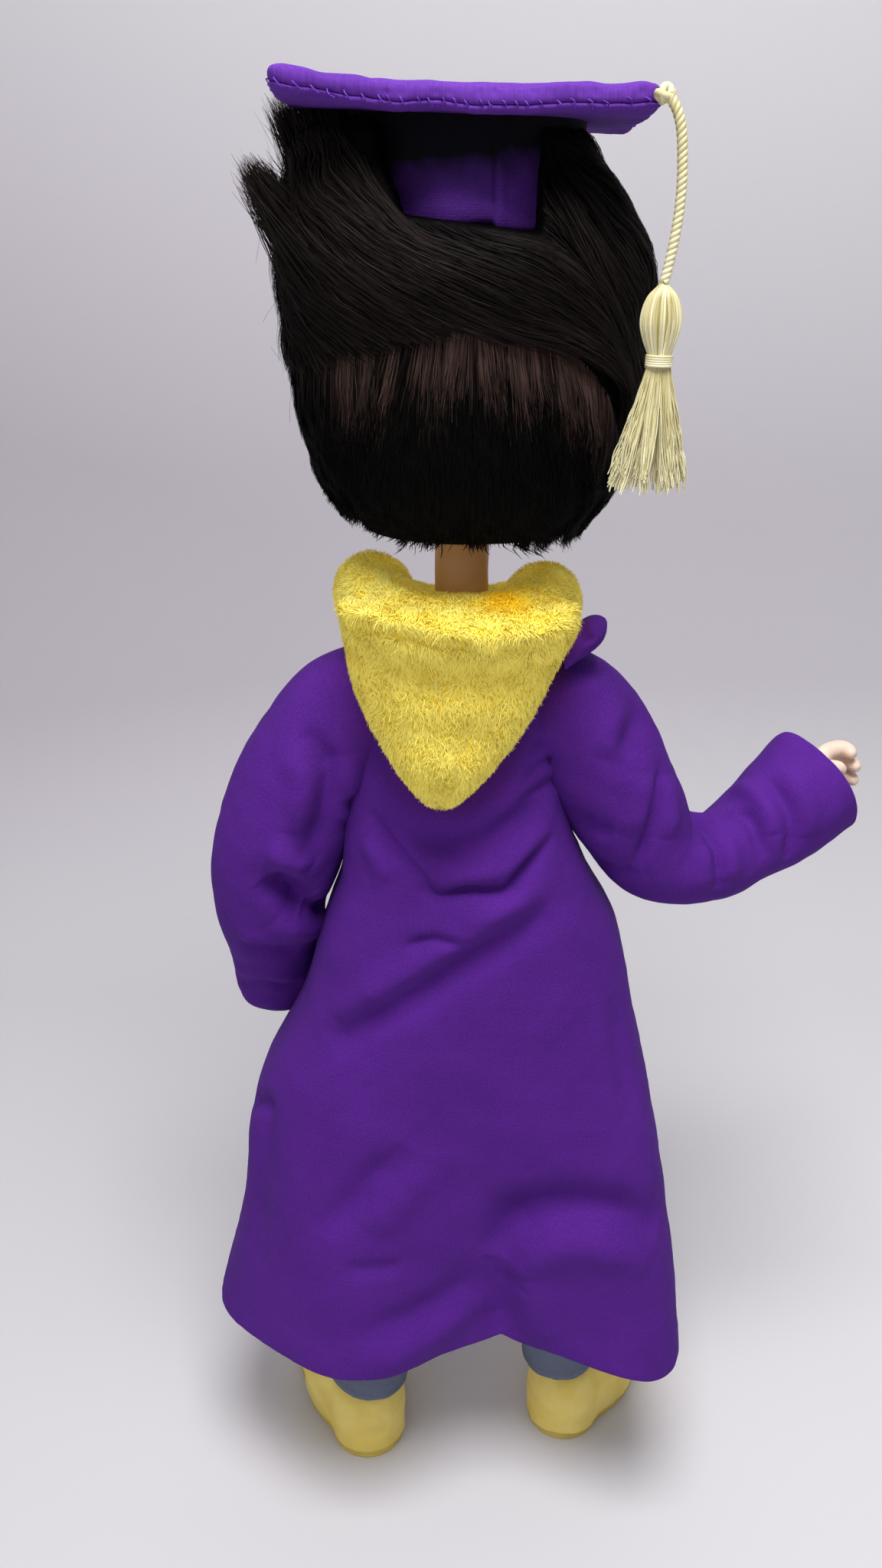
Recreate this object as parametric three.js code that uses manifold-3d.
// A handmade graduation doll: jointed arms and legs, plush hair, gown with a fur hood, soft cap with a tassel.
// Millimetres, +Z up. The doll faces -Y, and its own left hand is at +X.
// Everything is laid out about the doll's upright axis, and the whole is moved at the end so that the
// middle of its footprint is the origin.
import * as THREE from 'three';
import { mergeVertices } from 'three/addons/utils/BufferGeometryUtils.js';
import Module from 'manifold-3d';

const wasm = await Module();
wasm.setup();

// Driving dimensions
const seat = 0.35; // air between two pieces that touch
const clothThickness = 1.6; // gown and sleeve cloth, folded double at its edges
const denimThickness = 1.5;

const hipHeight = 132;
const hipSpread = 16.5; // from the middle to each hip joint
const hipSwing = 15; // degrees each way
const shoulderHeight = 262;
const shoulderSpread = 31.5;
const legRadius = 9;
const barRadius = 2.5; // hip bar and shoulder bar
const barCapRadius = 3.6;
const barCapThickness = 1.1;

const soleThickness = 2.6;
const heelRadius = 12;
const toeRadius = 18;
const heelToToe = 26; // between the centres of the heel's and the toe's round
const shoeHeight = 25; // at the heel, above the sole
const shoeToeDrop = 11; // how much lower the toe is
const shoeWall = 1.6;
const cuffBottom = 27; // the turned-up cuffs of the jeans lie on the shoes
const cuffHeight = 16;

const torsoTop = shoulderHeight + 22;
const gownHemHeight = 67;
const gownTopHeight = torsoTop + 0.5;
const armholeRadius = 12.5;
const sleeveStart = 26.5; // distance of the armhole seam from the middle
const shoulderRadius = 16.4; // of the sleeve where it is sewn to the gown
const hoodHeight = torsoTop + 10; // middle of the hood's roll at its sides

const neckRadius = 6.75;
const neckTop = torsoTop + 34;
const neckSocketDepth = 12;
const headCentre = new THREE.Vector3(0, -2, neckTop + 30);
const headRadii = new THREE.Vector3(36, 35, 38);
const eyeRadius = 4.4;
const eyeSpread = 13.5;
const eyeHeight = headCentre.z - 6;

const skullBandRadius = 26;
const skullBandBottom = headCentre.z + 32;
const skullBandTop = skullBandBottom + 19.5;
const skullBandWall = 1.8;
const boardWidth = 74;
const boardHeight = skullBandTop + 3.4; // middle of the board's thickness
const boardHalfThickness = 2.75;
const boardCardThickness = 0.9;
const boardCardInset = 2;
const boardTurn = 2.6; // degrees
const boardCornerLift = 7; // the doll's front left corner curls up
const boardSag = 1.4;

const hairLine = 13; // above the middle of the head: where the short nape fur meets the long swept hair
const tasselCordRadius = 1.05;
const knotRadius = 1.9;
const elbowBallRadius = 6;
const elbowSocketRadius = 8.4;
const elbowPinRadius = 1.2;
const armHeadRadius = 7;
const wristPegRadius = 2.2;
const wristPegLength = 7;

const radians = THREE.MathUtils.degToRad;
const vector = (x, y, z) => new THREE.Vector3(x, y, z);

// Materials
const paint = (color, roughness, metalness = 0) => new THREE.MeshStandardMaterial({ color, roughness, metalness });
const gownCloth = paint(0x4b1f8f, 0.85);
const plush = paint(0xe6dc4a, 0.95);
const hairFur = paint(0x1f1613, 0.6);
const skin = paint(0xc99a5b, 0.55);
const paleSkin = paint(0xd8c4a8, 0.5);
const denim = paint(0x4a5a78, 0.9);
const shoeFoam = paint(0xd9c24a, 0.8);
const soleRubber = paint(0xb8a040, 0.85);
const satinThread = paint(0xe8e2a8, 0.45);
const stuffing = paint(0xd9c8b0, 0.95);
const steel = paint(0x9a9da2, 0.35, 1);
const card = paint(0x8b8478, 0.9);
const eyeGloss = paint(0x1c120c, 0.15);

// Solids: closed meshes, joined and cut
function solidOf(geometry) {
  const bare = geometry.clone();
  bare.deleteAttribute('normal');
  bare.deleteAttribute('uv');
  const merged = mergeVertices(bare, 1e-4);
  return new wasm.Manifold(new wasm.Mesh({
    numProp: 3,
    vertProperties: Float32Array.from(merged.attributes.position.array),
    triVerts: Uint32Array.from(merged.index.array),
  }));
}

function geometryOf(solid) {
  const mesh = solid.getMesh();
  const geometry = new THREE.BufferGeometry();
  geometry.setAttribute('position', new THREE.BufferAttribute(mesh.vertProperties, 3));
  geometry.setIndex(new THREE.BufferAttribute(mesh.triVerts, 1));
  geometry.computeVertexNormals();
  return geometry;
}

const join = (...geometries) => geometryOf(geometries.map(solidOf).reduce((a, b) => a.add(b)));
const cut = (body, ...tools) => geometryOf(tools.map(solidOf).reduce((a, b) => a.subtract(b), solidOf(body)));

// A closed skin over rings of points. Each ring has as many points, counterclockwise seen against the
// direction that the rings advance in, and each end is closed by a fan about the ring's middle.
function loft(rings) {
  const count = rings[0].length;
  const points = rings.flat();
  const faces = [];
  for (let ring = 0; ring + 1 < rings.length; ring += 1) {
    for (let i = 0; i < count; i += 1) {
      const a = ring * count + i;
      const b = ring * count + ((i + 1) % count);
      faces.push(a, b, b + count, a, b + count, a + count);
    }
  }
  for (const [start, turned] of [[0, true], [(rings.length - 1) * count, false]]) {
    const middle = points.slice(start, start + count).reduce((sum, p) => sum.add(p), vector(0, 0, 0));
    points.push(middle.divideScalar(count));
    const hub = points.length - 1;
    for (let i = 0; i < count; i += 1) {
      const a = start + i;
      const b = start + ((i + 1) % count);
      faces.push(...(turned ? [hub, b, a] : [hub, a, b]));
    }
  }
  return new THREE.BufferGeometry().setFromPoints(points).setIndex(faces);
}

// A wall between an outer and an inner skin of rings, open at both ends.
function wall(outer, inner) {
  const count = outer[0].length;
  const loop = [...outer, ...inner.slice().reverse()];
  const points = loop.flat();
  const faces = [];
  for (let ring = 0; ring < loop.length; ring += 1) {
    const next = (ring + 1) % loop.length;
    for (let i = 0; i < count; i += 1) {
      const j = (i + 1) % count;
      const [a, b] = [ring * count + i, ring * count + j];
      const [c, d] = [next * count + j, next * count + i];
      faces.push(a, b, c, a, c, d);
    }
  }
  return new THREE.BufferGeometry().setFromPoints(points).setIndex(faces);
}

// A value read off a short list of [height, value] stations, smoothed between them.
function station(list, height) {
  const rising = list[0][0] < list[list.length - 1][0] ? list : list.slice().reverse();
  if (height <= rising[0][0]) return rising[0][1];
  for (let i = 0; i + 1 < rising.length; i += 1) {
    const [[z0, v0], [z1, v1]] = [rising[i], rising[i + 1]];
    if (height <= z1) return v0 + (v1 - v0) * THREE.MathUtils.smootherstep(height, z0, z1) * 0.35
      + (v1 - v0) * ((height - z0) / (z1 - z0)) * 0.65;
  }
  return rising[rising.length - 1][1];
}

const steps = (from, to, count) => Array.from({ length: count + 1 }, (_, i) => from + ((to - from) * i) / count);

// Turns a geometry built along +Y so that it runs along a direction, then moves it.
function aim(geometry, direction, at) {
  const turn = new THREE.Quaternion().setFromUnitVectors(vector(0, 1, 0), direction.clone().normalize());
  return geometry.applyQuaternion(turn).translate(at.x, at.y, at.z);
}

function rod(from, to, radiusFrom, radiusTo = radiusFrom, sides = 10) {
  const length = from.distanceTo(to);
  const geometry = new THREE.CylinderGeometry(radiusTo, radiusFrom, length, sides);
  return aim(geometry, to.clone().sub(from), from.clone().add(to).multiplyScalar(0.5));
}

function ball(centre, radius, around = 10, up = 6) {
  return new THREE.SphereGeometry(radius, around, up).translate(centre.x, centre.y, centre.z);
}

// The radius of a faceted hollow whose flats lie as far out as this
const flatsAt = (radius, sides = 10) => radius / Math.cos(Math.PI / sides);

function ellipsoid(centre, radii, grow = 0, around = 24, up = 14) {
  return new THREE.SphereGeometry(1, around, up).rotateX(Math.PI / 2)
    .scale(radii.x + grow, radii.y + grow, radii.z + grow).translate(centre.x, centre.y, centre.z);
}

function block(low, high) {
  const size = high.clone().sub(low);
  const middle = low.clone().add(high).multiplyScalar(0.5);
  return new THREE.BoxGeometry(size.x, size.y, size.z).translate(middle.x, middle.y, middle.z);
}

// What a rod sweeps when it swings about an axis, as a few copies of it side by side.
function sweep(make, pivot, axis, fromDegrees, toDegrees, copies) {
  return steps(fromDegrees, toDegrees, copies).map((angle) => {
    const shape = make();
    shape.translate(-pivot.x, -pivot.y, -pivot.z);
    shape.applyQuaternion(new THREE.Quaternion().setFromAxisAngle(axis, radians(angle)));
    return shape.translate(pivot.x, pivot.y, pivot.z);
  });
}

const doll = new THREE.Group();
const parts = {};
function piece(name, geometry, material, parent = doll) {
  geometry.computeVertexNormals();
  const mesh = new THREE.Mesh(geometry, material);
  mesh.name = name;
  parent.add(mesh);
  parts[name] = mesh;
  return mesh;
}

// The gown's plan at a height is a rounded rectangle whose four half widths follow these stations.
// Each station is a share of the shoulders' height and a half width.
const atShares = (list) => list.map(([share, value]) => [share * shoulderHeight, value]);
const gownLeft = atShares([[1.086, 12.5], [1.053, 24], [1, 25.9], [0.9, 25.5], [0.824, 31], [0.782, 37], [0.664, 46],
  [0.573, 58], [0.511, 62.5], [0.412, 65.5], [0.256, 75.5]]);
const gownRight = atShares([[1.086, 12.5], [1.053, 24], [1, 25.9], [0.9, 25.5], [0.824, 31.5], [0.782, 39.5],
  [0.645, 49.5], [0.561, 55.4], [0.45, 62], [0.359, 67], [0.256, 70.5]]);
// Superellipse power of the plan: the gown hangs out to a corner at the back, on the doll's right
const gownRoundness = 2.8;
const gownCorner = atShares([[0.9, gownRoundness], [0.611, 3.4], [0.256, 7]]);
const gownBack = atShares([[1.086, 11.5], [1.053, 17], [1, 21], [0.9, 24], [0.782, 27], [0.573, 31], [0.42, 33.5],
  [0.256, 35.5]]);
const gownFront = atShares([[1.086, 11], [1.053, 15], [1, 19], [0.9, 22.5], [0.782, 25], [0.573, 30], [0.42, 33],
  [0.256, 36]]);
const foldStart = 0.782 * shoulderHeight; // the folds fade out above the waist
const backFold = { depth: 7.5, wave: 97, crest: 36 };
const frontFold = { depth: 4, wave: 44, crest: 22 };

// How far the cloth lies from the middle, back or front, at a place across the doll
const gownPower = (left, back, height) => (back && !left ? station(gownCorner, height) : gownRoundness);
function gownSurface(x, height, back, grow = 0) {
  const halfX = station(x > 0 ? gownLeft : gownRight, height) + grow;
  const halfY = station(back ? gownBack : gownFront, height) + grow;
  const across = Math.min(1, Math.abs(x) / halfX);
  const power = gownPower(x > 0, back, height);
  const round = (1 - across ** power) ** (1 / power);
  const fade = Math.max(0, (foldStart - height) / (foldStart - gownHemHeight)) ** 1.3;
  const fold = back ? backFold : frontFold;
  const ripple = fold.depth * fade * Math.cos((2 * Math.PI * (x - fold.crest)) / fold.wave);
  return (back ? 1 : -1) * (halfY * round + ripple * round ** 2.1);
}

function gownPoint(angle, height, grow) {
  const [c, s] = [Math.cos(angle), Math.sin(angle)];
  const halfX = station(c > 0 ? gownLeft : gownRight, height) + grow;
  const x = halfX * Math.sign(c) * Math.abs(c) ** (2 / gownPower(c > 0, s > 0, height));
  return vector(x, gownSurface(x, height, s > 0, grow), height);
}

const gownAround = 24;
const gownHeights = [0, 0.11, 0.21, 0.31, 0.42, 0.53, 0.63, 0.71, 0.8, 0.89, 0.96, 1]
  .map((share) => THREE.MathUtils.lerp(gownHemHeight, gownTopHeight, share));
const gownAngles = steps(0, 2 * Math.PI, gownAround).slice(0, gownAround);
const gownRings = (grow, heights = gownHeights) => heights
  .map((height) => gownAngles.map((angle) => gownPoint(angle, height, grow)));
// The space that the gown fills, with a little more above and below, to fit other pieces to
const gownSolid = (grow) => loft([
  ...gownRings(grow, [gownHemHeight]).map((points) => points.map((p) => p.clone().setZ(gownHemHeight - 5))),
  ...gownRings(grow),
  ...gownRings(grow, [gownTopHeight]).map((points) => points.map((p) => p.clone().setZ(gownTopHeight + grow))),
]);
// Each shoulder is a round of cloth, with the armhole through it, that the sleeve goes on from
const acrossShoulder = (side, from, to, radius) => rod(vector(side * from, 0, shoulderHeight),
  vector(side * to, 0, shoulderHeight), radius, radius, 16);
const shoulders = (grow) => [1, -1].map((side) => acrossShoulder(side, 10, sleeveStart - seat + grow,
  shoulderRadius + grow));
const armholes = [1, -1].map((side) => acrossShoulder(side, 12, 40, armholeRadius));
const gownInside = gownSolid(-clothThickness / 2);
piece('gown_body', cut(
  join(wall(gownRings(0), gownRings(-clothThickness)), ...shoulders(0).map((round) => cut(round, gownInside))),
  ...armholes,
), gownCloth);

// Stuffed torso, with a socket for the neck and a hole for the shoulder bar
const torsoWidths = atShares([[0.573, 17], [0.706, 17.5], [0.9, 21.5], [1, 21.5], [1.046, 18], [1.082, 9.6]]);
const torsoDepths = atShares([[0.573, 13], [0.706, 12.5], [0.9, 17], [1, 16], [1.046, 13], [1.082, 8.5]]);
const torsoBottom = hipHeight + 17;
function torsoRings() {
  const around = steps(0, 2 * Math.PI, 16).slice(0, 16);
  const heights = steps(torsoBottom, torsoTop - 0.5, 11);
  return heights.map((z) => around.map((a) => vector(
    station(torsoWidths, z) * Math.sign(Math.cos(a)) * Math.abs(Math.cos(a)) ** 0.85,
    station(torsoDepths, z) * Math.sign(Math.sin(a)) * Math.abs(Math.sin(a)) ** 0.85,
    z,
  )));
}
const neckBottom = torsoTop - neckSocketDepth + seat;
const neckSocket = rod(vector(0, 0, torsoTop - neckSocketDepth), vector(0, 0, torsoTop + 5), neckRadius + seat,
  neckRadius + seat, 24);
const barHole = (height) => rod(vector(-60, 0, height), vector(60, 0, height), barRadius + seat, barRadius + seat, 16);
piece('torso_core', cut(loft(torsoRings()), neckSocket, barHole(shoulderHeight)), stuffing);

// Bars that carry the arms and the legs, each with a cap at both ends
function bar(height, spread, headRadius) {
  const reach = spread + headRadius;
  const inCap = seat + barCapThickness / 2;
  const shaft = rod(vector(-reach - inCap, 0, height), vector(reach + inCap, 0, height), barRadius, barRadius, 16);
  const caps = [1, -1].map((side) => rod(vector(side * (reach + seat), 0, height),
    vector(side * (reach + seat + barCapThickness), 0, height), barCapRadius, barCapRadius, 16));
  return join(shaft, ...caps);
}
// Room in a limb for the bar and for its cap
function barRoom(joint, side, headRadius) {
  const [inner, face, outer] = [-20, headRadius, 22].map((x) => joint.clone().add(vector(side * x, 0, 0)));
  return [rod(inner, face.clone().add(vector(side, 0, 0)), barRadius + seat), rod(face, outer, barCapRadius + seat)];
}
piece('shoulder_bar', bar(shoulderHeight, shoulderSpread, armHeadRadius), steel);
piece('hip_bar', bar(hipHeight, hipSpread, legRadius), steel);

// Hip block between the legs
const hips = [1, -1].map((side) => vector(side * hipSpread, 0, hipHeight));
const ankles = [vector(30, 3, 24), vector(-37, -4, 24)];
const legSweep = (grow) => hips.flatMap((hip, i) => [
  ball(hip, legRadius + grow, 12, 7),
  ...sweep(() => rod(hip, hip.clone().lerp(ankles[i], 0.35), legRadius + grow, legRadius + grow, 12),
    hip, vector(1, 0, 0), -hipSwing, hipSwing, 1),
]);
const pelvisForm = ellipsoid(vector(0, 0, hipHeight + 5), vector(24, 13.5, 11.5), 0, 14, 8);
piece('pelvis_block', cut(pelvisForm, ...legSweep(seat + denimThickness), barHole(hipHeight)), denim);

// Neck
piece('neck_post', rod(vector(0, 0, neckBottom), vector(0, 0, neckTop), neckRadius, neckRadius, 24), skin);

// Head, with sockets for the neck and the bead eyes
const eyes = [1, -1].map((side) => {
  const dx = side * eyeSpread;
  const dz = eyeHeight - headCentre.z;
  const depth = headRadii.y * Math.sqrt(1 - (dx / headRadii.x) ** 2 - (dz / headRadii.z) ** 2);
  return vector(dx, headCentre.y - depth + 1.6, eyeHeight);
});
const nose = ellipsoid(vector(0, headCentre.y - headRadii.y + 0.9, headCentre.z - 13), vector(3, 3.4, 2.6), 0, 10, 6);
const chinForm = (grow) => ellipsoid(vector(0, headCentre.y - 9.5, headCentre.z - 19), vector(22, 20, 17), grow, 14, 8);
piece('head_shell', cut(
  join(ellipsoid(headCentre, headRadii, 0, 20, 10), nose, chinForm(0)),
  rod(vector(0, 0, neckTop - 18), vector(0, 0, neckTop + seat), neckRadius + seat, neckRadius + seat, 14),
  ...eyes.map((eye) => ball(eye, eyeRadius + seat)),
), skin);
['eye_left', 'eye_right'].forEach((name, i) => piece(name, ball(eyes[i], eyeRadius), eyeGloss));

// Hair: a shell of fur about the head, in three locks. The skull band of the cap sits in the crown.
const headRoom = () => join(ellipsoid(headCentre, headRadii, seat, 20, 10), chinForm(seat));
const bandRoom = () => rod(vector(0, 0, skullBandBottom - seat), vector(0, 0, skullBandTop + 20), skullBandRadius + seat,
  skullBandRadius + seat, 24);
// Its profiles are radii and heights above the middle of the head.
const napeProfile = [[0, -36], [27, -36], [33, -28], [38.5, -14], [40.6, -2], [41.2, 7], [41, hairLine - seat],
  [0, hairLine - seat]];
const crownProfile = [[0, hairLine], [41.5, hairLine], [42.4, 19], [41.6, 26], [39, 33], [34.5, 40], [30, 45.5],
  [28.8, 49.4], [0, 49.4]];
function hairForm(profile, deep) {
  const points = profile.map(([r, z]) => new THREE.Vector2(r, z));
  return new THREE.LatheGeometry(points, 24).rotateX(Math.PI / 2).scale(1, deep, 1).translate(0, 1.5, headCentre.z);
}
const faceRoom = (top, front) => block(vector(-60, -60, headCentre.z - 58), vector(60, front, top));
const hairLevel = headCentre.z + hairLine;
piece('hair_nape', cut(hairForm(napeProfile, 0.98), headRoom(), faceRoom(hairLevel + 5, -12)), hairFur);
const backWindow = block(vector(-14.5, 0, skullBandBottom - seat), vector(17.5, 60, skullBandTop + 20));
// A lock of hair that stands out from the crown and curls to a point
function lock(points, thickness) {
  const curve = new THREE.CatmullRomCurve3(points);
  return loft([0, 0.3, 0.6, 0.85, 1].map((t) => ringAbout(curve.getPoint(t), curve.getTangent(t),
    thickness * (1 - 0.9 * t ** 1.4), 7)));
}
const lockPoints = [
  [[32, 2, 23], [39, 4, 36], [40.5, 7, 52]],
  [[33, 13, 20], [43, 12, 29], [48, 11, 42]],
];
const locks = lockPoints.map((line, i) => lock(line.map(([x, y, z]) => vector(x, y, headCentre.z + z)), 8.5 - 1.5 * i));
const crown = join(hairForm(crownProfile, 0.97), ...locks);
piece('hair_crown', cut(crown, headRoom(), bandRoom(), backWindow, faceRoom(hairLevel + 11, -16)), hairFur);
const fringeForm = ellipsoid(vector(0, headCentre.y - 2, hairLevel + 1), vector(35, 39, 13), 0, 24, 10);
piece('hair_fringe', cut(
  fringeForm,
  headRoom(),
  block(vector(-60, -16 - seat, neckTop - 18), vector(60, 60, skullBandTop + 20)),
  block(vector(-60, -60, hairLevel + 11 - seat), vector(60, 60, skullBandTop + 20)),
), hairFur);

// Cap: skull band, and a board of two covered halves over a card
function ring(innerRadius, outerRadius, low, high, sides) {
  const profile = [[innerRadius, low], [outerRadius, low], [outerRadius, high], [innerRadius, high], [innerRadius, low]];
  return new THREE.LatheGeometry(profile.map(([r, z]) => new THREE.Vector2(r, z)), sides).rotateX(Math.PI / 2);
}
piece('cap_band', ring(skullBandRadius - skullBandWall, skullBandRadius, skullBandBottom, skullBandTop, 32), gownCloth);

// How far the board's middle surface lies above its level, for a place in it from -1 to 1 each way
function boardRise(u, v) {
  const curl = boardCornerLift * Math.max(0, (u - v) / 2 - 0.35) ** 2 / 0.4225;
  return curl - boardSag * (1 - u * u) * Math.max(0, v) ** 2;
}
function boardLayer(half, low, high, puff) {
  const geometry = new THREE.BoxGeometry(2, 2, 1, 7, 7, 1);
  const position = geometry.attributes.position;
  const turn = radians(boardTurn);
  for (let i = 0; i < position.count; i += 1) {
    const [u, v] = [position.getX(i), position.getY(i)];
    const crownUp = puff * (1 - u ** 4) * (1 - v ** 4);
    const level = position.getZ(i) < 0 ? Math.min(low, low + crownUp) : Math.max(high, high + crownUp);
    const [x, y] = [u * half, v * half];
    const rise = boardRise((2 * x) / boardWidth, (2 * y) / boardWidth);
    position.setXYZ(i, x * Math.cos(turn) + y * Math.sin(turn), y * Math.cos(turn) - x * Math.sin(turn),
      boardHeight + rise + level);
  }
  return geometry;
}
const cardHalf = boardCardThickness / 2;
const boardEdge = boardHalfThickness - 0.5;
piece('board_top_cover', boardLayer(boardWidth / 2, cardHalf + seat, boardEdge, 0.5), gownCloth);
piece('board_card', boardLayer(boardWidth / 2 - boardCardInset, -cardHalf, cardHalf, 0), card);
const underCover = boardLayer(boardWidth / 2, -boardEdge, -cardHalf - seat, 0);
piece('board_under_cover', underCover, gownCloth);
const buttonRadius = 4.5;
const boardTopHeight = boardHeight + boardHalfThickness + boardRise(0, 0) + seat;
const buttonProfile = [[0, 0], [buttonRadius, 0], [buttonRadius, 0.8], [3.2, 2], [0, 2.5]];
piece('cap_button', new THREE.LatheGeometry(buttonProfile.map(([r, z]) => new THREE.Vector2(r, z)), 20)
  .rotateX(Math.PI / 2).translate(0, 0, boardTopHeight), gownCloth);

// Tassel at the board's back right corner: a knot, a hanging cord, a looped head, its binding and the skirt
const cordCorner = vector(-35.6, 40.6, boardHeight - 0.5);
piece('tassel_knot', ball(cordCorner, knotRadius), satinThread);
// Points across, back and below the board's middle level
const cordRoute = [[-37.9, 42.0, 1.5], [-39.3, 42.5, 3.9], [-40.2, 42.8, 6.9], [-40.7, 42.9, 10.9], [-41, 42.9, 15.9],
  [-40.9, 42.8, 20.9], [-40.4, 42.6, 25.9], [-39.7, 42.3, 30.4], [-39.0, 42.1, 33.9]]
  .map(([x, y, below]) => vector(x, y, boardHeight - below));
const circle = (radius, sides) => new THREE.Shape(steps(0, 2 * Math.PI, sides).slice(0, sides)
  .map((a) => new THREE.Vector2(radius * Math.cos(a), radius * Math.sin(a))));
piece('tassel_cord', new THREE.ExtrudeGeometry(circle(tasselCordRadius, 8), {
  steps: 16, extrudePath: new THREE.CatmullRomCurve3(cordRoute),
}), satinThread);
const tasselTop = cordRoute[cordRoute.length - 1].clone().add(vector(0, 0, -seat));
const tasselHeadLength = 12;
const bindingLength = 2.4;
const tasselSkirtLength = 26;
const tasselHeadProfile = [[0, -tasselHeadLength], [2.2, -tasselHeadLength], [4.1, -7.5], [4.6, -4.5], [3.6, -1.5], [1.5, 0],
  [0, 0]];
const turned = (profile, sides) => new THREE.LatheGeometry(profile.map(([r, z]) => new THREE.Vector2(r, z)), sides)
  .rotateX(Math.PI / 2);
piece('tassel_head', turned(tasselHeadProfile, 14).scale(1, 0.8, 1)
  .translate(tasselTop.x, tasselTop.y, tasselTop.z), satinThread);
const bindingTop = tasselTop.z - tasselHeadLength - seat;
piece('tassel_binding', turned([[0, -bindingLength], [2.5, -bindingLength], [2.9, -bindingLength / 2], [2.5, 0], [0, 0]], 14)
  .translate(tasselTop.x, tasselTop.y, bindingTop), satinThread);
const skirtTop = bindingTop - bindingLength - seat;
const skirtProfile = [[0, -tasselSkirtLength], [7.8, -tasselSkirtLength], [6.2, -15], [4, -6], [2.6, 0], [0, 0]];
piece('tassel_skirt', turned(skirtProfile, 18).scale(1, 0.6, 1).translate(tasselTop.x, tasselTop.y, skirtTop), satinThread);

// Fur hood: a padded roll about the neck, and a pouch with its point down the back
function hoodRoll() {
  const around = 24;
  const section = 8;
  const rings = steps(0, 2 * Math.PI, around).slice(0, around).map((a) => {
    const [back, front] = [Math.max(0, Math.sin(a)), Math.max(0, -Math.sin(a))];
    const middle = vector(1 + 21 * Math.cos(a), 3 + 16 * Math.sin(a), hoodHeight - 5.5 * back - 6 * front);
    const [flat, tall] = [10.8 - 1.2 * back - 5.8 * front, 10.6 - 1.8 * back - 5.6 * front];
    return steps(0, 2 * Math.PI, section).slice(0, section).map((b) => middle.clone().add(
      vector(flat * Math.cos(b) * Math.cos(a), flat * Math.cos(b) * Math.sin(a), tall * Math.sin(b))));
  });
  const points = rings.flat();
  const faces = [];
  for (let i = 0; i < around; i += 1) {
    for (let j = 0; j < section; j += 1) {
      const [a, b] = [i * section + j, i * section + ((j + 1) % section)];
      const [c, d] = [((i + 1) % around) * section + ((j + 1) % section), ((i + 1) % around) * section + j];
      faces.push(a, c, b, a, d, c);
    }
  }
  return new THREE.BufferGeometry().setFromPoints(points).setIndex(faces);
}
// Stations of the pouch are measured down from the roll.
const hoodHalf = [[44, 3], [41, 8.5], [32, 15.5], [23, 21], [14, 25.5], [6, 28.5], [0, 29]];
const hoodMiddle = [[44, 5], [32, 4], [14, 2.5], [0, 1.2]];
const hoodBack = [[44, 29], [40, 33], [32, 35.5], [18, 36], [8, 35.5], [3, 33], [0, 29]];
const hoodFrontFace = 12;
function hoodPouch() {
  const around = 14;
  return loft([44, 42, 37, 29, 19, 9, 0].map((below) => steps(0, 2 * Math.PI, around).slice(0, around)
    .map((a) => {
      const [c, s] = [Math.cos(a), Math.sin(a)];
      const halfDepth = (station(hoodBack, below) - hoodFrontFace) / 2;
      return vector(
        station(hoodMiddle, below) + station(hoodHalf, below) * Math.sign(c) * Math.abs(c) ** 0.9,
        hoodFrontFace + halfDepth + halfDepth * Math.sign(s) * Math.abs(s) ** 0.8,
        hoodHeight - below,
      );
    })));
}
piece('hood', cut(join(hoodRoll(), hoodPouch()), gownSolid(seat + 0.15), ...shoulders(seat)), plush);

// Front band of the hood: a V that lies on the gown's chest
const bandWidth = 8;
const bandThickness = 2.2;
const bandPoint = shoulderHeight - 12;
function frontBand(side) {
  const rings = steps(0, 1, 10).map((t) => {
    const height = THREE.MathUtils.lerp(torsoTop - 1, bandPoint, t);
    const centre = side * (14.5 - 14.5 * t);
    return [[-1, 0], [1, 0], [1, 1], [-1, 1]].map(([across, out]) => {
      const x = centre + (across * bandWidth) / 2;
      return vector(x, gownSurface(x, height, false) - seat - 0.3 - out * bandThickness, height);
    });
  });
  return loft(rings);
}
const frontBands = join(frontBand(1), frontBand(-1));
piece('hood_front_band', cut(frontBands, hoodRoll(), gownSolid(seat)), plush);

// Front closing of the gown: a flat band down the middle, with a zip pull at its top
const placketHalf = 4.5;
const placketThickness = 1.2;
const placketTop = bandPoint - 7;
function placketRings() {
  return steps(placketTop, gownHemHeight + 0.5, 14).map((height) => [[-1, 0], [1, 0], [1, 1], [-1, 1]]
    .map(([across, out]) => {
      const x = across * placketHalf;
      return vector(x, gownSurface(x, height, false) - seat - 0.1 - out * placketThickness, height);
    }));
}
piece('gown_front_band', cut(loft(placketRings()), gownSolid(seat)), gownCloth);
const pullBack = gownSurface(0, placketTop - 14, false) - seat * 2 - placketThickness - 0.2;
piece('zip_pull', block(vector(-1.6, pullBack - 1.4, placketTop - 14), vector(1.6, pullBack, placketTop - 4)), steel);

// Folded corner of the neckline that stands up on the doll's right shoulder
const flapRings = steps(0, 1, 4).map((t) => {
  const middle = vector(-26.5 - 10.5 * t, 8 - 2 * t, torsoTop - 0.6 + 5.2 * t);
  const [wide, thick] = [7 - 3.5 * t, 1.5];
  return steps(0, 2 * Math.PI, 10).slice(0, 10).map((a) => middle.clone().add(
    vector(thick * Math.cos(a) * 0.5, wide * Math.sin(a), thick * Math.cos(a))));
});
piece('shoulder_flap', cut(loft(flapRings), join(hoodRoll(), hoodPouch())), gownCloth);

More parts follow.
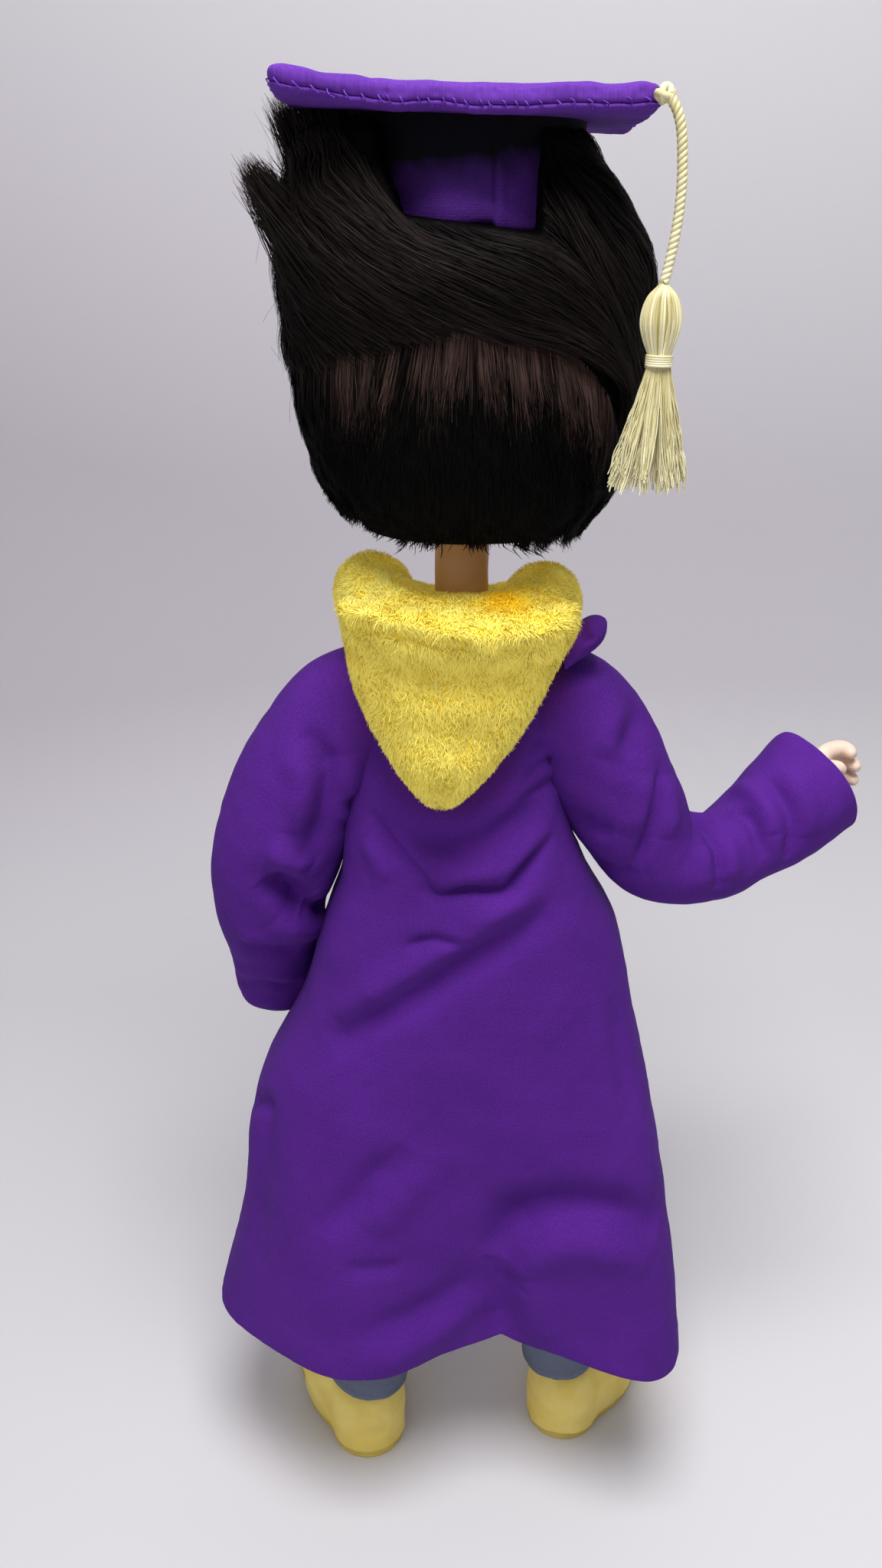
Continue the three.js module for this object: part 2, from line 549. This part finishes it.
// Arms. Each has a level or slanted elbow pin, and a sleeve in two lengths that meet in a round elbow.
const armPoint = (x, y, share) => vector(x, y, share * shoulderHeight);
const arms = [
  {
    side: 1, name: 'left', elbow: armPoint(56, 0, 0.817), cuff: armPoint(57.5, -24, 0.647), axis: vector(-1, 0, 0),
    flex: [-10, 60], bend: armPoint(38, 0, 0.981), sleeveRadii: [shoulderRadius, 15.6, 14.8], elbowRadius: 15.2,
    cuffRadius: 13.4, lowerRadius: 13.2, wristAt: 0.72,
  },
  {
    side: -1, name: 'right', elbow: armPoint(-57.5, 0, 0.836), cuff: armPoint(-101, -22, 0.886), axis: null,
    flex: [-50, 25], bend: armPoint(-36.5, 0, 0.985), sleeveRadii: [shoulderRadius, 14.6, 14], elbowRadius: 14.4,
    cuffRadius: 16.7, lowerRadius: 14.2, wristAt: 0.84,
  },
];

// Rings square to a curve in the arm's upright plane, or square to a straight line
function ringAbout(middle, along, radius, sides) {
  const turn = new THREE.Quaternion().setFromUnitVectors(vector(0, 0, 1), along.clone().normalize());
  return steps(0, 2 * Math.PI, sides).slice(0, sides).map((a) => vector(radius * Math.cos(a), radius * Math.sin(a), 0)
    .applyQuaternion(turn).add(middle));
}

function hand(arm, wrist, along) {
  const palmLength = 17;
  const palm = new THREE.SphereGeometry(1, 8, 5).scale(9.4, palmLength / 2, 4.4).translate(0, palmLength / 2 + 0.5, 0);
  const digit = (points, thickness) => {
    const curve = new THREE.CatmullRomCurve3(points);
    return loft([0, 0.35, 0.7, 1].map((t) => ringAbout(curve.getPoint(t), curve.getTangent(t),
      thickness * (1 - 0.18 * t) * (t === 1 ? 0.55 : 1), 6)));
  };
  const fingers = steps(-1, 1, 3).map((place) => {
    const length = 9 - 1.6 * place * place - 0.6 * place * arm.side;
    const root = vector(place * 6.9, palmLength - 5, 0);
    const knuckle = root.clone().add(vector(place * 0.6, length * 0.8, -0.6));
    const tip = knuckle.clone().add(vector(0, 0.6, -length * 0.8));
    return digit([root, knuckle, tip], 2.5);
  });
  const thumb = digit([[-4, 5, -1], [-6.4, 10, -4], [-5, 15, -6.5]].map(([x, y, z]) => vector(x * arm.side, y, z)), 2.7);
  const peg = rod(vector(0, -wristPegLength, 0), vector(0, 3, 0), wristPegRadius, wristPegRadius, 8);
  const wristEnd = rod(vector(0, 0, 0), vector(0, 4, 0), 4.4, 5.4, 10);
  const shape = join(palm, wristEnd, peg, thumb, ...fingers);
  const across = arm.handAcross.clone().projectOnPlane(along).normalize();
  const basis = new THREE.Matrix4().makeBasis(across, along, across.clone().cross(along));
  return shape.applyMatrix4(basis).translate(wrist.x, wrist.y, wrist.z);
}

for (const arm of arms) {
  const shoulder = vector(arm.side * shoulderSpread, 0, shoulderHeight);
  const along = arm.cuff.clone().sub(arm.elbow).normalize();
  const upper = arm.elbow.clone().sub(shoulder).normalize();
  const axis = arm.axis ?? upper.clone().cross(along).normalize();
  arm.axis = axis;
  arm.along = along;
  arm.handAcross = arm.side > 0 ? vector(0.4, 1, -0.4) : vector(0.2, 0.25, 1);
  const wrist = arm.elbow.clone().lerp(arm.cuff, arm.wristAt);

  const pinHole = rod(arm.elbow.clone().addScaledVector(axis, -12), arm.elbow.clone().addScaledVector(axis, 12),
    elbowPinRadius + seat, elbowPinRadius + seat, 10);
  const forearmRod = (grow) => rod(arm.elbow.clone(), arm.elbow.clone().addScaledVector(along, 16), 4.6 + grow,
    5.6 + grow, 12);

  piece(`upper_arm_${arm.name}`, cut(
    join(ball(shoulder, armHeadRadius), rod(shoulder, arm.elbow, 6.4, 6.8), ball(arm.elbow, elbowSocketRadius)),
    ball(arm.elbow, flatsAt(elbowBallRadius + seat)),
    ...sweep(() => forearmRod(seat + 0.5), arm.elbow, axis, arm.flex[0], arm.flex[1], 2),
    ...barRoom(shoulder, arm.side, armHeadRadius), pinHole,
  ), skin);
  piece(`elbow_pin_${arm.name}`, rod(arm.elbow.clone().addScaledVector(axis, -elbowSocketRadius + 0.6),
    arm.elbow.clone().addScaledVector(axis, elbowSocketRadius - 0.6), elbowPinRadius, elbowPinRadius, 12), steel);
  const wristHole = rod(wrist.clone().addScaledVector(along, -wristPegLength - 0.6), wrist.clone()
    .addScaledVector(along, 2), wristPegRadius + seat, wristPegRadius + seat, 10);
  piece(`forearm_${arm.name}`, cut(
    join(ball(arm.elbow, elbowBallRadius), rod(arm.elbow, arm.elbow.clone().addScaledVector(along, 16), 4.6, 5.6),
      rod(arm.elbow.clone().addScaledVector(along, 15), wrist.clone().addScaledVector(along, -seat), 5.6, 4.6)),
    pinHole, wristHole,
  ), skin);
  piece(`hand_${arm.name}`, hand(arm, wrist, along), paleSkin);

  // Upper sleeve: from the armhole seam, round the shoulder and down to the elbow
  const seam = vector(arm.side * sleeveStart, 0, shoulderHeight);
  const curve = new THREE.QuadraticBezierCurve3(seam, arm.bend, arm.elbow);
  const radiusAt = (t) => (t < 0.5
    ? arm.sleeveRadii[0] + (arm.sleeveRadii[1] - arm.sleeveRadii[0]) * t * 2
    : arm.sleeveRadii[1] + (arm.sleeveRadii[2] - arm.sleeveRadii[1]) * (t * 2 - 1));
  const level = vector(arm.side, 0, 0);
  const sleeveRings = (grow) => steps(0, 1, 4).map((t) => ringAbout(curve.getPoint(t),
    level.clone().lerp(upper, t), radiusAt(t) + grow, 16));
  const lowerSleeveForm = (grow) => join(
    ball(arm.elbow, arm.elbowRadius + grow, 14, 6),
    loft(steps(0, 1, 2).map((t) => ringAbout(arm.elbow.clone().lerp(arm.cuff, t), along,
      arm.lowerRadius + (arm.cuffRadius - arm.lowerRadius) * t + grow, 14))),
  );
  const upperCloth = wall(sleeveRings(0), sleeveRings(-clothThickness));
  const swept = sweep(() => rod(arm.elbow.clone(), arm.cuff.clone(), arm.lowerRadius + seat + 0.9,
    arm.cuffRadius + seat + 0.9, 16), arm.elbow, axis, arm.flex[0], arm.flex[1], 3);
  piece(`sleeve_upper_${arm.name}`, cut(upperCloth, ball(arm.elbow, arm.elbowRadius + seat + 0.3, 16, 9), ...swept),
    gownCloth);
  const armRoom = sweep(() => rod(arm.elbow.clone(), shoulder.clone().lerp(arm.elbow, 0.4), 9.6, 9.6),
    arm.elbow, axis, -arm.flex[1], -arm.flex[0], 2);
  const cavity = rod(arm.elbow.clone(), arm.cuff.clone().addScaledVector(along, 4), arm.lowerRadius - clothThickness,
    arm.cuffRadius - clothThickness, 14);
  piece(`sleeve_lower_${arm.name}`, cut(lowerSleeveForm(0), ball(arm.elbow, arm.elbowRadius - clothThickness, 12, 6),
    cavity, ...armRoom), gownCloth);
}

// Legs with their feet, jeans with turned-up cuffs, and slip-on shoes on flat soles
const feet = [
  { name: 'left', side: 1, splay: 18 },
  { name: 'right', side: -1, splay: -30 },
];

// Plan of the shoe: the outline of a heel round and a larger toe round, with straight sides between
function shoePlan(angle, inset) {
  const lean = Math.asin((toeRadius - heelRadius) / heelToToe);
  const toe = Math.sin(angle) < Math.sin(-lean);
  const radius = (toe ? toeRadius : heelRadius) - inset;
  return new THREE.Vector2(radius * Math.cos(angle), radius * Math.sin(angle) - (toe ? heelToToe : 0));
}
const shoeAngles = steps(0, 2 * Math.PI, 18).slice(0, 18);
function shoeForm(inset) {
  const rows = [0, 0.45, 0.8, 1];
  return loft(rows.map((t) => shoeAngles.map((angle) => {
    const edge = shoePlan(angle, inset);
    const forward = THREE.MathUtils.clamp(-edge.y / (heelToToe + toeRadius), 0, 1);
    const height = shoeHeight - shoeToeDrop * forward ** 1.2 - inset;
    const draw = 1 - 0.62 * t ** 3.2;
    const spine = new THREE.Vector2(0, THREE.MathUtils.clamp(edge.y, -heelToToe, 0) * 0.9);
    return vector(spine.x + (edge.x - spine.x) * draw, spine.y + (edge.y - spine.y) * draw,
      soleThickness + seat + Math.sin((t * Math.PI) / 2) * height);
  })));
}
const soleShape = new THREE.Shape(shoeAngles.map((angle) => shoePlan(angle, 0.4)));

for (const [i, foot] of feet.entries()) {
  const hip = hips[i];
  const ankle = ankles[i];
  const ground = vector(ankle.x, ankle.y, 0);
  const stand = (geometry) => geometry.rotateZ(radians(foot.splay)).translate(ground.x, ground.y, 0);
  const direction = ankle.clone().sub(hip).normalize();
  const onLeg = (height) => hip.clone().lerp(ankle, (hip.z - height) / (hip.z - ankle.z));
  const jeansOuter = legRadius + seat + denimThickness;
  const legRoom = rod(onLeg(hipHeight - 22), onLeg(soleThickness + 8), legRadius + seat, legRadius + seat, 16);

  piece(`leg_${foot.name}`, cut(
    join(ball(hip, legRadius, 12, 6), rod(hip, onLeg(14), legRadius, legRadius, 12), stand(shoeForm(shoeWall + seat))),
    ...barRoom(hip, foot.side, legRadius),
  ), stuffing);
  const upper = cut(stand(shoeForm(0)), stand(shoeForm(shoeWall)), legRoom);
  piece(`shoe_upper_${foot.name}`, upper, shoeFoam);
  piece(`shoe_sole_${foot.name}`, stand(new THREE.ExtrudeGeometry(soleShape, { depth: soleThickness, bevelEnabled: false })),
    soleRubber);
  const tube = (low, high, inner, outer) => wall(
    [high, low].map((z) => ringAbout(onLeg(z), direction, outer, 18)),
    [high, low].map((z) => ringAbout(onLeg(z), direction, inner, 18)),
  );
  const shoeRoom = stand(shoeForm(-seat));
  piece(`jeans_leg_${foot.name}`, cut(tube(cuffBottom, hipHeight - 14, legRadius + seat, jeansOuter), shoeRoom), denim);
  piece(`jeans_cuff_${foot.name}`, cut(tube(cuffBottom, cuffBottom + cuffHeight, jeansOuter + seat,
    jeansOuter + seat + denimThickness), shoeRoom), denim);
}

// The origin: the middle of the footprint, on the floor. The hanging tassel isn't counted.
const hanging = new Set(['tassel_cord', 'tassel_head', 'tassel_binding', 'tassel_skirt']);
const bounds = new THREE.Box3();
for (const [name, mesh] of Object.entries(parts)) if (!hanging.has(name)) bounds.expandByObject(mesh, true);
doll.position.set(-(bounds.min.x + bounds.max.x) / 2, -(bounds.min.y + bounds.max.y) / 2, -bounds.min.z);

export default doll;
